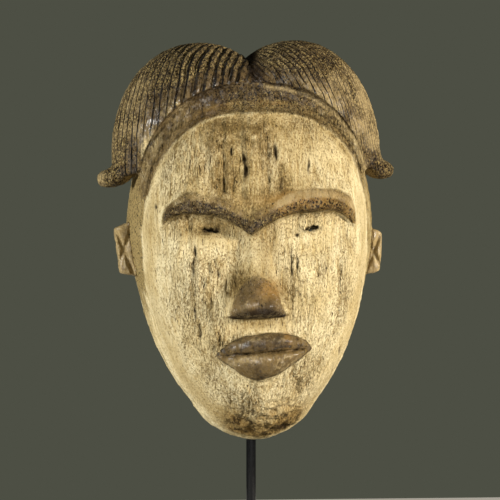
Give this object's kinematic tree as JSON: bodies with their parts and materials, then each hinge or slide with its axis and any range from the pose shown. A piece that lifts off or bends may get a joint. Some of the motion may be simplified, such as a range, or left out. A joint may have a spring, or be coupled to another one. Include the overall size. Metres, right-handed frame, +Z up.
{
  "type": "carved face mask on a display rod",
  "caption": "Hollow carved wooden face mask with a two-lobed hairstyle, held upright by a bent rod on a flat square foot.",
  "frame": {"origin": "middle of the foot's underside", "axes": "+Z up the rod and the mask, -Y the way the face looks, +X to the viewer's right"},
  "size_m": [0.1769, 0.1194, 0.3342],
  "materials": {
    "carved_wood": "weathered, pale kaolin face with dark rubbed patina",
    "black_steel": "satin black",
    "black_lacquer": "satin black lacquer"
  },
  "bodies": {
    "root": {"mask": "carved_wood", "stand_rod": "black_steel", "stand_base": "black_lacquer"}
  },
  "joints": []
}
